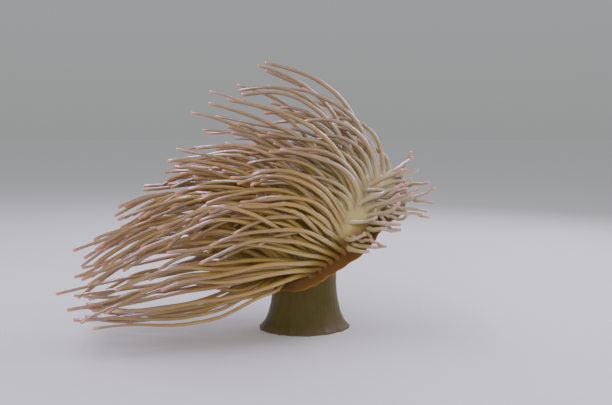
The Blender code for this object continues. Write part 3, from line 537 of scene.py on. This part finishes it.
def untangled(lines, rad, lengths, flat, ring_r, tone):
    """Thins the tentacles whose surfaces meet, and marks those that still do so to be left out."""
    n = len(lines)
    w = np.arange(8) / 8 * 2 * math.pi
    keep = np.ones(n, bool)
    body = body_tree()
    for k in range(n):
        d, c3, r, plane = stem(lines[k], rad[k], lengths[k], flat[k], ring_r[k], tone[k])
        for q in np.flatnonzero(d > 0.010):
            hit, nrm, _, _ = body.find_nearest(Vector(c3[q]), 0.01)
            if hit is not None and (Vector(c3[q]) - hit).dot(nrm) < r[q] - 0.0003:
                keep[k] = False
    for attempt in range(5):
        pts, tris, owner, count = [], [], [], 0
        for k in np.flatnonzero(keep):
            d, c3, r, plane = stem(lines[k], rad[k], lengths[k], flat[k], ring_r[k], tone[k])
            a = np.array([0.0, 1.0, 0.0])
            for q in range(len(d)):
                a = unit(a - a.dot(plane[q]) * plane[q])
                b = np.cross(plane[q], a)
                pts.append(c3[q] + 1.03 * r[q] * (np.cos(w)[:, None] * a + np.sin(w)[:, None] * b))
                if q:
                    for e in range(8):
                        o, o2 = count + e, count + (e + 1) % 8
                        tris += [(o - 8, o2 - 8, o2), (o - 8, o2, o)]
                        owner += [k, k]
                count += 8
        tree = BVHTree.FromPolygons(np.concatenate(pts).tolist(), tris)
        owner = np.array(owner)
        hit = owner[np.array(tree.overlap(tree))]
        hit = np.unique(hit[hit[:, 0] != hit[:, 1]], axis=0)
        if not len(hit):
            break
        if attempt < 4:
            rad[np.unique(hit)] *= 0.945
            ring_r[np.unique(hit)] *= 0.97
            continue
        clash = np.zeros((n, n), bool)
        clash[hit[:, 0], hit[:, 1]] = True
        clash |= clash.T
        while (clash & keep[:, None] & keep[None]).any():
            c = (clash & keep[:, None] & keep[None]).sum(1)
            keep[np.lexsort((lengths, -c))[0]] = False
    return keep


def build_skin():
    skin = Skin()
    lines, rad, lengths, lee, flat = animal()
    eased(lines, rad, lengths, lee)
    n = len(flat)
    gap = np.linalg.norm(flat[:, None] - flat[None], axis=-1) + np.eye(n)
    ring_r = np.minimum(rad[:, 0] * 1.25, 0.470 * gap.min(1))
    ring_r = np.minimum(ring_r, RIM_RHO * DISC_R - 0.0009 - np.linalg.norm(flat, axis=-1))
    turn = np.arange(SIDES) / SIDES * 2 * math.pi
    high = np.clip((lines[:, 0, 2] - 0.056) / 0.104, 0, 1)
    tone = 0.5 + 0.5 * rough(np.arange(n), 31)
    # near_rim marks the low part of the margin, where the material paints the roots dark brown, partly their own
    # colour and partly painted shade
    near_rim = lambda rho, z: smooth(0.80, 0.90, rho) * (1 - smooth(0.100, 0.128, z))
    edge = near_rim(np.linalg.norm(flat, axis=-1) / DISC_R, lines[:, 0, 2]) * (1.0 - 0.6 * np.asarray(lee, float))
    stay = untangled(lines, rad, lengths, flat, ring_r, tone)
    lines, rad, lengths, lee, flat, ring_r, high, tone, edge = (
        v[stay] for v in (lines, rad, lengths, np.asarray(lee), flat, ring_r, high, tone, edge))
    n = len(flat)

    # ---- the face of the disc: one triangulated sheet with a hole for each tentacle and the mouth
    th = np.arange(RIM_N) / RIM_N * 2 * math.pi
    rim = np.stack([RIM_RHO * DISC_R * np.cos(th), RIM_RHO * DISC_R * np.sin(th)], -1)
    tl = np.arange(LIP_N) / LIP_N * 2 * math.pi
    lip = np.stack([MOUTH_RHO * DISC_R * np.cos(tl), MOUTH_RHO * DISC_R * np.sin(tl)], -1)
    rings = flat[:, None] + ring_r[:, None, None] * np.stack([np.cos(turn), np.sin(turn)], -1)[None]
    cols = np.arange(-24, 25)
    gx, gy = np.meshgrid(cols, cols)
    hexes = np.stack([(gx + 0.5 * (gy % 2)) * FILL, gy * FILL * 0.866], -1).reshape(-1, 2)
    far = np.linalg.norm(hexes, axis=-1)
    hexes = hexes[(far < RIM_RHO * DISC_R - 0.0022) & (far > MOUTH_RHO * DISC_R + 0.0018)]
    room = np.linalg.norm(hexes[:, None] - flat[None], axis=-1) - ring_r[None]
    hexes = hexes[room.min(1) > 0.0013]
    places = np.concatenate([rim, lip, rings.reshape(-1, 2), hexes])
    loops = [list(range(RIM_N)), list(range(RIM_N, RIM_N + LIP_N))]
    base = RIM_N + LIP_N
    loops += [list(range(base + SIDES * k, base + SIDES * (k + 1))) for k in range(n)]
    out = delaunay_2d_cdt([Vector(p) for p in places], [], loops, 1, 1e-7)
    xy = np.array([tuple(p) for p in out[0]])
    where = np.full(len(places), -1)
    for new, olds in enumerate(out[3]):
        for o in olds:
            where[o] = new
    rho = np.linalg.norm(xy, axis=-1) / DISC_R
    tent_near = np.exp(-np.clip((np.linalg.norm(xy[:, None] - flat[None], axis=-1) - ring_r[None]).min(1), 0, 1) / 0.002)
    p3 = disc_xy(xy[:, 0], xy[:, 1], 0.0)
    hz = np.clip((p3[:, 2] - 0.056) / 0.104, 0, 1)
    top = skin.add(p3, tone=0.5, edge=near_rim(rho, p3[:, 2]), zone=0.12 * smooth(0.84, 0.975, rho), root=1.0 - 0.8 * smooth(0.80, 0.96, rho), high=hz,
                   lips=smooth(MOUTH_RHO + 0.10, MOUTH_RHO, rho), round=np.arctan2(xy[:, 1], xy[:, 0]))
    disc_uv = lambda k: (0.155 + xy[k, 0] / DISC_R * 0.148, 0.155 + xy[k, 1] / DISC_R * 0.148)
    matt, satin = set(), set()
    for tri, owners in zip(out[2], out[5]):
        if all(o == 0 for o in owners):
            (matt if rho[list(tri)].mean() > 0.905 else satin).add(len(skin.f))
            skin.f.append(tuple(int(top[k]) for k in tri))
            skin.uv.append([disc_uv(k) for k in tri])

    # ---- the tentacles, each grown from its own hole
    across, down = 88, int(math.ceil(n / 88))
    for k in range(n):
        L = lengths[k]
        d, c3, r, plane = stem(lines[k], rad[k], L, flat[k], ring_r[k], tone[k])
        first = where[base + SIDES * k: base + SIDES * (k + 1)]
        a = p3[first[0]] - lines[k, 0]
        a = unit(a - a.dot(plane[0]) * plane[0])
        hand = 1.0 if np.cross(plane[0], a).dot(p3[first[1]] - lines[k, 0]) > 0 else -1.0
        rows = [top[first]]
        for q in range(len(d)):
            a = unit(a - a.dot(plane[q]) * plane[q])
            bb = hand * np.cross(plane[q], a)
            pts = c3[q] + r[q] * (np.cos(turn)[:, None] * a + np.sin(turn)[:, None] * bb)
            rows.append(skin.add(pts, along=d[q] / L, root=math.exp(-d[q] / 0.016), tip=math.exp(-(L - d[q]) / 0.0050),
                                 tone=tone[k], high=high[k], lee=float(lee[k]),
                                 edge=edge[k] * float(1 - smooth(0.003, 0.026, d[q]))))
        col, row = k % across, k // across
        u0 = 0.002 + col / across * 0.996
        v0 = 0.312 + row / down * 0.686
        box = (u0, v0, u0 + 0.996 / across * 0.72, v0 + 0.686 / down * 0.965)
        vs = np.concatenate([[0.0], d / L])
        vs = 0.02 + 0.96 * vs
        if edge[k] > 0.25:
            satin.update(range(len(skin.f), len(skin.f) + 5 * SIDES))
        grid_faces(skin, rows, box, True, hand < 0, vs)
        end = skin.add(lines[k, -1], along=1.0, tip=1.0, tone=tone[k], high=high[k], lee=float(lee[k]))[0]
        last = rows[-1]
        for j in range(SIDES):
            j2 = (j + 1) % SIDES
            face = (last[j], last[j2], end)
            ua, ub = box[0] + (box[2] - box[0]) * j / SIDES, box[0] + (box[2] - box[0]) * (j + 1) / SIDES
            va, vb = box[1] + (box[3] - box[1]) * vs[-1], box[3]
            uv = [(ua, va), (ub, va), ((ua + ub) / 2, vb)]
            skin.f.append(face if hand > 0 else face[::-1])
            skin.uv.append(uv if hand > 0 else uv[::-1])

    # ---- the margin, calyx, column and foot, in rings from the top down
    body_from = len(skin.f)
    first = top[where[:RIM_N]]
    rows = [first]
    zones = [0.12]
    edge = under(1.0)
    for a in (0.17, 0.34, 0.5, 0.66, 0.83, 1.0):
        scallop = 0.0034 * math.sin(a * math.pi) * (np.sin(43 * th + 2.6 * np.sin(3 * th) + 2 * np.sin(7 * th)) + 0.7 * np.sin(27 * th + 1.0))
        p = disc(RIM_RHO + (1 - RIM_RHO) * math.sin(a * math.pi) + scallop, th, edge * (0.5 - 0.5 * math.cos(a * math.pi)))
        z = 0.12 + 0.06 * a
        rows.append(skin.add(p, tone=0.5, zone=z, high=np.clip((p[:, 2] - 0.056) / 0.104, 0, 1), round=th))
        zones.append(z)
    for r in (0.965, 0.945, 0.922):
        z = 0.18 + (RIM_RHO - r) * 0.8
        p = disc(r, th, under(r) + furrows(th, 0.0003, z))
        rows.append(skin.add(p, tone=0.5, zone=z, high=np.clip((p[:, 2] - 0.056) / 0.104, 0, 1), round=th))
        zones.append(z)
    for t in np.linspace(1.0, 0.0, 30):
        z = 0.25 + 0.35 * (1 - t)
        p = calyx(t, th)
        q = calyx(t, th + 0.01) - calyx(t, th - 0.01)
        e = calyx(min(t + 0.01, 1), th) - calyx(max(t - 0.01, 0), th)
        nrm = unit(np.cross(q, e))
        p = p + nrm * furrows(th, 0.00020, z)[:, None]
        rows.append(skin.add(p, tone=0.5, zone=z, high=np.clip((p[:, 2] - 0.056) / 0.104, 0, 1), round=th))
        zones.append(z)
    for t in np.linspace(0.97, 0.0, 26):
        t = t ** 1.15
        z = 0.60 + 0.40 * (1 - t)
        hgt = t * join_z(th)
        grow = furrows(th, 0.00018 * float(smooth(0.0, 0.05, t)), z)
        # the foot's edge creeps out in small lobes and folds
        grow = grow + 0.0006 * np.exp(-hgt / 0.006) * (np.sin(17 * th + 2 * np.sin(3 * th)) + 0.6 * np.sin(29 * th))
        p = column_ring(hgt, th, grow)
        p[:, 2] = np.maximum(p[:, 2], 0.0)
        rows.append(skin.add(p, tone=0.5, zone=z, round=th))
        zones.append(z)
    zones = np.array(zones)
    vs = (zones - zones[0]) / (zones[-1] - zones[0])
    grid_faces(skin, rows, (0.312, 0.300, 0.998, 0.006), True, True, vs)
    # underside of the foot
    inner = rows[-1]
    sole = [inner]
    for f in (0.93, 0.6, 0.25):
        p = np.concatenate(skin.v)[inner] * f
        p[:, 2] = 0.0
        sole.append(skin.add(p, tone=0.5, zone=1.0, round=th))
    grid_faces(skin, sole, (0.312, 0.006, 0.998, 0.003), True, True)
    hub = skin.add(np.zeros(3), tone=0.5, zone=1.0)[0]
    for j in range(RIM_N):
        skin.f.append((sole[-1][(j + 1) % RIM_N], sole[-1][j], hub))
        skin.uv.append([(0.5, 0.002), (0.5, 0.003), (0.51, 0.003)])

    # ---- the mouth: raised folded lips round a slit
    body_to = len(skin.f)
    first = top[where[RIM_N:RIM_N + LIP_N]]
    rows = [first]
    for s, h, oval in ((0.93, 0.0010, 0), (0.84, 0.0026, 0.05), (0.73, 0.0042, 0.12), (0.62, 0.0052, 0.2),
                       (0.51, 0.0054, 0.3), (0.41, 0.0047, 0.5), (0.33, 0.0030, 0.75), (0.27, 0.0000, 1.0), (0.22, -0.0035, 1.0)):
        rr = MOUTH_RHO * DISC_R * s
        x = rr * (1 + 0.45 * oval) * np.cos(tl)
        y = rr * (1 - 0.62 * oval) * np.sin(tl)
        pleat = 0.00050 * np.sin(16 * tl + 0.6 * np.sin(3 * tl)) * math.sin(math.pi * min(1, (1.0 - s) / 0.75))
        rows.append(skin.add(disc_xy(x, y, h + pleat), tone=0.5, lips=1.0 + 1.0 * float(smooth(0.50, 0.25, s)), root=1.0, high=0.6, round=tl))
    m = len(rows)
    for r in range(m - 1):
        a, b = rows[r], rows[r + 1]
        for j in range(LIP_N):
            k = (j + 1) % LIP_N
            skin.f.append((a[j], a[k], b[k], b[j]))
            ra, rb = 0.022 * (1 - r / m), 0.022 * (1 - (r + 1) / m)
            skin.uv.append([(0.155 + q * math.cos(w), 0.155 + q * math.sin(w)) for q, w in
                            ((ra, tl[j]), (ra, tl[j] + 2 * math.pi / LIP_N), (rb, tl[j] + 2 * math.pi / LIP_N), (rb, tl[j]))])
    throat = skin.add(disc(0.0, 0.0, -0.0050), tone=0.5, lips=2.0)[0]
    for j in range(LIP_N):
        skin.f.append((rows[-1][j], rows[-1][(j + 1) % LIP_N], throat))
        skin.uv.append([(0.155, 0.155), (0.156, 0.155), (0.155, 0.156)])

    # ---- into Blender
    co = np.concatenate(skin.v)
    me = bpy.data.meshes.new("anemone_skin")
    me.from_pydata(co.tolist(), [], [tuple(int(i) for i in f) for f in skin.f])
    me.validate()
    uv = me.uv_layers.new(name="OFBake")
    flat_uv = np.array([c for f in skin.uv for c in f], dtype=np.float32).reshape(-1)
    uv.data.foreach_set("uv", flat_uv)
    for k, store in skin.value.items():
        at = me.attributes.new(k, "FLOAT", "POINT")
        at.data.foreach_set("value", np.concatenate(store).astype(np.float32))
    me.polygons.foreach_set("material_index", [1 if body_from <= i < body_to or i in matt else 2 * (i in satin) for i in range(len(skin.f))])
    me.shade_smooth()
    ob = bpy.data.objects.new("anemone_skin", me)
    bpy.context.scene.collection.objects.link(ob)
    return ob


# ---------------------------------------------------------------- materials
class Nodes:
    """Short ways to write a node tree."""

    def __init__(self, name):
        self.mat = bpy.data.materials.new(name)
        self.mat.use_nodes = True
        self.t = self.mat.node_tree
        self.bsdf = self.t.nodes["Principled BSDF"]

    def link(self, a, b):
        self.t.links.new(a, b)

    def attr(self, name):
        n = self.t.nodes.new("ShaderNodeAttribute")
        n.attribute_name = name
        return n.outputs["Fac"]

    def coord(self):
        return self.t.nodes.new("ShaderNodeTexCoord").outputs["Object"]

    def math(self, op, a, b=0.5, c=None, clamp=False):
        n = self.t.nodes.new("ShaderNodeMath")
        n.operation = op
        n.use_clamp = clamp
        for k, v in enumerate((a, b, c)):
            if v is None:
                continue
            if isinstance(v, (int, float)):
                n.inputs[k].default_value = v
            else:
                self.link(v, n.inputs[k])
        return n.outputs[0]

    def noise(self, scale, detail=3.0, rough_=0.55, vec=None, stretch=None):
        v = vec or self.coord()
        if stretch:
            mp = self.t.nodes.new("ShaderNodeMapping")
            mp.inputs["Scale"].default_value = stretch
            self.link(v, mp.inputs["Vector"])
            v = mp.outputs[0]
        n = self.t.nodes.new("ShaderNodeTexNoise")
        n.inputs["Scale"].default_value = scale
        n.inputs["Detail"].default_value = detail
        n.inputs["Roughness"].default_value = rough_
        self.link(v, n.inputs["Vector"])
        return n.outputs["Fac"]

    def ramp(self, fac, stops):
        n = self.t.nodes.new("ShaderNodeValToRGB")
        e = n.color_ramp.elements
        while len(e) < len(stops):
            e.new(0.5)
        for el, (p, c) in zip(e, stops):
            el.position = p
            el.color = (*c, 1)
        self.link(fac, n.inputs[0])
        return n.outputs["Color"]

    def mix(self, fac, a, b, kind="MIX"):
        n = self.t.nodes.new("ShaderNodeMix")
        n.data_type = "RGBA"
        n.blend_type = kind
        n.clamp_factor = True
        for sock, v in ((n.inputs[0], fac), (n.inputs[6], a), (n.inputs[7], b)):
            if isinstance(v, (int, float)):
                sock.default_value = v
            elif isinstance(v, tuple):
                sock.default_value = (*v, 1)
            else:
                self.link(v, sock)
        return n.outputs[2]

    def span(self, fac, lo, hi, a=0.0, b=1.0):
        n = self.t.nodes.new("ShaderNodeMapRange")
        n.interpolation_type = "SMOOTHSTEP"
        self.link(fac, n.inputs["Value"])
        for k, v in (("From Min", lo), ("From Max", hi), ("To Min", a), ("To Max", b)):
            n.inputs[k].default_value = v
        return n.outputs["Result"]


def skin_material(name, gloss, face=False):
    """The animal's skin. Tentacles are wet and glossy, the disc's face is satin, the body's skin is matt and leathery."""
    m = Nodes(name)
    b = m.bsdf
    along, root, tip = m.attr("along"), m.attr("root"), m.attr("tip")
    tone, zone, lips, high = m.attr("tone"), m.attr("zone"), m.attr("lips"), m.attr("high")
    big = m.noise(26, 3)
    mid = m.noise(95, 3)
    fine = m.noise(520, 3, 0.6)

    # tentacles: pale grey-cream root, golden ochre length, warmer and redder to the pink-orange tip
    gold = m.ramp(along, [(0.0, (0.43, 0.330, 0.092)), (0.14, (0.35, 0.245, 0.040)), (0.42, (0.320, 0.207, 0.021)),
                          (0.70, (0.250, 0.170, 0.028)), (1.0, (0.225, 0.148, 0.048))])
    grey = m.ramp(along, [(0.0, (0.44, 0.395, 0.215)), (0.20, (0.34, 0.300, 0.145)), (0.50, (0.285, 0.232, 0.110)),
                          (0.80, (0.235, 0.190, 0.104)), (1.0, (0.235, 0.172, 0.110))])
    # grey tone: partly random from tentacle to tentacle, partly painted highlight, raised on the high and lee
    # tentacles that the top light reaches
    grey_tone_and_highlight = m.math("ADD", m.span(high, 0.45, 0.95, 0.0, 0.85), m.math("MULTIPLY", m.math("SUBTRACT", tone, 0.5), 0.55))
    grey_tone_and_highlight = m.math("ADD", grey_tone_and_highlight, m.math("MULTIPLY", m.attr("lee"), 0.85), clamp=True)
    col = m.mix(grey_tone_and_highlight, gold, grey)
    col = m.mix(m.span(mid, 0.42, 0.68, 0.0, 0.22), col, (0.26, 0.124, 0.0144))
    col = m.mix(m.span(fine, 0.55, 0.75, 0.0, 0.08), col, (0.598, 0.468, 0.24))
    # lee tentacles paler and cooler: partly their own paler colour, partly painted highlight
    col = m.mix(m.math("MULTIPLY", m.attr("lee"), 0.45), col, (0.31, 0.285, 0.215))
    # pale cream patches at the roots and on the disc's face: partly the roots' own pale colour, partly painted
    # highlight, stronger on higher roots where the top light falls
    pale = m.math("MULTIPLY", m.math("MULTIPLY", root, m.span(big, 0.38, 0.62, 0.15, 0.75)), m.span(high, 0.0, 0.40, 0.30, 1.0))
    col = m.mix(pale, col, (0.44, 0.37, 0.155) if face else (0.611, 0.539, 0.27))
    # roots at the low margin darkened to brown: partly their own orange-brown, partly painted shade under the rim
    col = m.mix(m.math("MULTIPLY", m.attr("edge"), 0.95), col, (0.125, 0.064, 0.013))
    blush = m.math("MULTIPLY", m.span(tip, 0.15, 0.90), m.span(m.attr("lee"), 0.0, 1.0, 0.60, 0.36))
    col = m.mix(blush, col, (0.66, 0.300, 0.165))
    # lips and throat
    col = m.mix(m.span(lips, 0.3, 1.0), col, m.mix(mid, (0.50, 0.40, 0.22), (0.42, 0.30, 0.17)))
    col = m.mix(m.span(lips, 1.25, 2.0), col, (0.10, 0.045, 0.030))

    # margin, calyx, column and foot; the lighter golden stop at the column's top (zone 0.59) is partly its own colour,
    # partly painted light where the disc shades it
    body = m.ramp(zone, [(0.0, (0.33, 0.210, 0.063)), (0.05, (0.150, 0.073, 0.012)), (0.12, (0.092, 0.038, 0.006)),
                         (0.22, (0.060, 0.0245, 0.005)), (0.44, (0.062, 0.0260, 0.005)), (0.52, (0.095, 0.056, 0.011)),
                         (0.59, (0.150, 0.111, 0.026)), (0.70, (0.108, 0.087, 0.023)), (0.80, (0.084, 0.071, 0.020)), (0.94, (0.080, 0.066, 0.021)),
                         (1.0, (0.115, 0.087, 0.044))])
    streak = m.noise(1.0, 4, 0.6, stretch=(200, 200, 20))
    body = m.mix(m.span(streak, 0.42, 0.66, 0.0, 0.24), body, (0.0479, 0.0328, 0.00756))
    body = m.mix(m.span(big, 0.42, 0.70, 0.0, 0.24), body, (0.158, 0.107, 0.0252))
    body = m.mix(m.span(fine, 0.52, 0.78, 0.0, 0.12), body, (0.176, 0.126, 0.0441))
    # pale sticky warts in the upper column
    v = m.t.nodes.new("ShaderNodeTexVoronoi")
    v.inputs["Scale"].default_value = 150
    v.inputs["Randomness"].default_value = 0.75
    m.link(m.coord(), v.inputs["Vector"])
    wart = m.math("MULTIPLY", m.span(v.outputs["Distance"], 0.34, 0.16), m.math("MULTIPLY", m.span(zone, 0.19, 0.26), m.span(zone, 0.62, 0.40)))
    body = m.mix(m.math("MULTIPLY", wart, 0.22), body, (0.302, 0.202, 0.063))
    col = m.mix(m.span(zone, 0.02, 0.12), col, body)
    m.link(col, b.inputs["Base Color"])

    m.link(m.span(fine, 0.3, 0.7, *((0.20, 0.27) if gloss else (0.36, 0.50) if face else (0.42, 0.56))), b.inputs["Roughness"])

    # relief: pores of the skin, furrows and warts of the column
    h = m.math("ADD", m.math("MULTIPLY", fine, 0.10), m.math("MULTIPLY", m.noise(240, 2), 0.28))
    h = m.math("MULTIPLY", h, m.span(zone, 0.0, 0.2, 0.25, 1.0))
    h = m.math("ADD", h, m.math("MULTIPLY", m.math("MULTIPLY", streak, m.span(zone, 0.1, 0.3)), 0.5))
    h = m.math("ADD", h, m.math("MULTIPLY", wart, 1.2))
    bump = m.t.nodes.new("ShaderNodeBump")
    bump.inputs["Strength"].default_value = 0.55
    bump.inputs["Distance"].default_value = 0.0006
    m.link(h, bump.inputs["Height"])
    m.link(bump.outputs[0], b.inputs["Normal"])

    b.inputs["Subsurface Weight"].default_value = 0.85
    b.inputs["Subsurface Radius"].default_value = (1.0, 0.66, 0.28)
    b.inputs["Subsurface Scale"].default_value = 0.0085
    b.inputs["Specular IOR Level"].default_value = 1.0 if gloss else 0.22
    b.inputs["Specular Tint"].default_value = (0.66, 0.50, 1.0, 1) if gloss else (1.0, 0.90, 0.70, 1)
    b.inputs["Coat Weight"].default_value = 1.0 if gloss else 0.06
    b.inputs["Coat Roughness"].default_value = 0.09 if gloss else 0.30
    b.inputs["Coat IOR"].default_value = 1.7 if gloss else 1.5
    b.inputs["Sheen Weight"].default_value = 0.06 if gloss else 0.02
    b.inputs["Sheen Roughness"].default_value = 0.30
    b.inputs["Sheen Tint"].default_value = (0.70, 0.60, 1.0, 1)
    return m.mat


def floor_material():
    m = Nodes("studio_floor")
    n = m.noise(3.0, 3)
    g = m.noise(90, 3)
    col = m.mix(n, (0.66, 0.655, 0.64), (0.70, 0.695, 0.68))
    col = m.mix(m.math("MULTIPLY", g, 0.15), col, (0.60, 0.60, 0.59))
    m.link(col, m.bsdf.inputs["Base Color"])
    m.link(m.span(g, 0.3, 0.7, 0.55, 0.70), m.bsdf.inputs["Roughness"])
    return m.mat


# ---------------------------------------------------------------- the scene
anemone = build_skin()
anemone.data.materials.append(skin_material("tentacle_skin", True))
anemone.data.materials.append(skin_material("column_skin", False))
anemone.data.materials.append(skin_material("disc_skin", False, True))
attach(anemone, "root")
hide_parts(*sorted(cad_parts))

me = bpy.data.meshes.new("studio_floor")
ring = [(14 * math.cos(a), 14 * math.sin(a), 0.0) for a in np.arange(64) / 64 * 2 * math.pi]
me.from_pydata(ring, [], [tuple(range(64))])
floor = bpy.data.objects.new("studio_floor", me)
bpy.context.scene.collection.objects.link(floor)
me.materials.append(floor_material())

cam_data = bpy.data.cameras.new("camera")
cam = bpy.data.objects.new("camera", cam_data)
bpy.context.scene.collection.objects.link(cam)
cam_data.lens = 50
cam_data.sensor_width = 36
cam_data.clip_start = 0.01
cam.location = (0.003, -0.87, 0.205)
cam.rotation_euler = (math.pi / 2 - math.radians(5.0), 0, 0)
bpy.context.scene.camera = cam


def softbox(name, loc, aim, size, power, colour, seen=True):
    light = bpy.data.lights.new(name, "AREA")
    light.shape = "RECTANGLE"
    light.size, light.size_y = size
    light.energy = power
    light.color = colour
    ob = bpy.data.objects.new(name, light)
    ob.location = loc
    ob.rotation_mode = "QUATERNION"
    ob.rotation_quaternion = (Vector(aim) - Vector(loc)).to_track_quat("-Z", "Y")
    ob.visible_glossy = seen
    bpy.context.scene.collection.objects.link(ob)


softbox("key", (-0.40, 0.0, 0.95), (-0.36, 0, 0.0), (2.2, 0.12), 12.5, (0.76, 0.68, 1.0))
softbox("side", (0.80, 0.0, 0.62), (-0.02, 0, 0.12), (0.14, 0.75), 3.2, (0.76, 0.68, 1.0))
softbox("fill", (-0.35, -3.0, 0.95), (-0.03, 0, 0.12), (2.2, 1.6), 62, (1.0, 0.95, 0.88), False)
softbox("back", (0.60, 0.80, 0.70), (-0.03, 0, 0.15), (0.8, 0.4), 7, (0.90, 0.86, 1.0))

# a soft grey studio sky, paler overhead, that meets the floor's own tone at the horizon
world = bpy.data.worlds.new("studio")
bpy.context.scene.world = world
world.use_nodes = True
wt = world.node_tree
back = wt.nodes["Background"]
where = wt.nodes.new("ShaderNodeTexCoord")
split = wt.nodes.new("ShaderNodeSeparateXYZ")
wt.links.new(where.outputs["Generated"], split.inputs[0])
sky = wt.nodes.new("ShaderNodeValToRGB")
sky.color_ramp.elements[0].position = 0.0
sky.color_ramp.elements[0].color = (0.428, 0.432, 0.436, 1)
sky.color_ramp.elements[1].position = 0.75
sky.color_ramp.elements[1].color = (0.66, 0.68, 0.71, 1)
wt.links.new(split.outputs["Z"], sky.inputs[0])
wt.links.new(sky.outputs[0], back.inputs[0])
back.inputs[1].default_value = 0.80
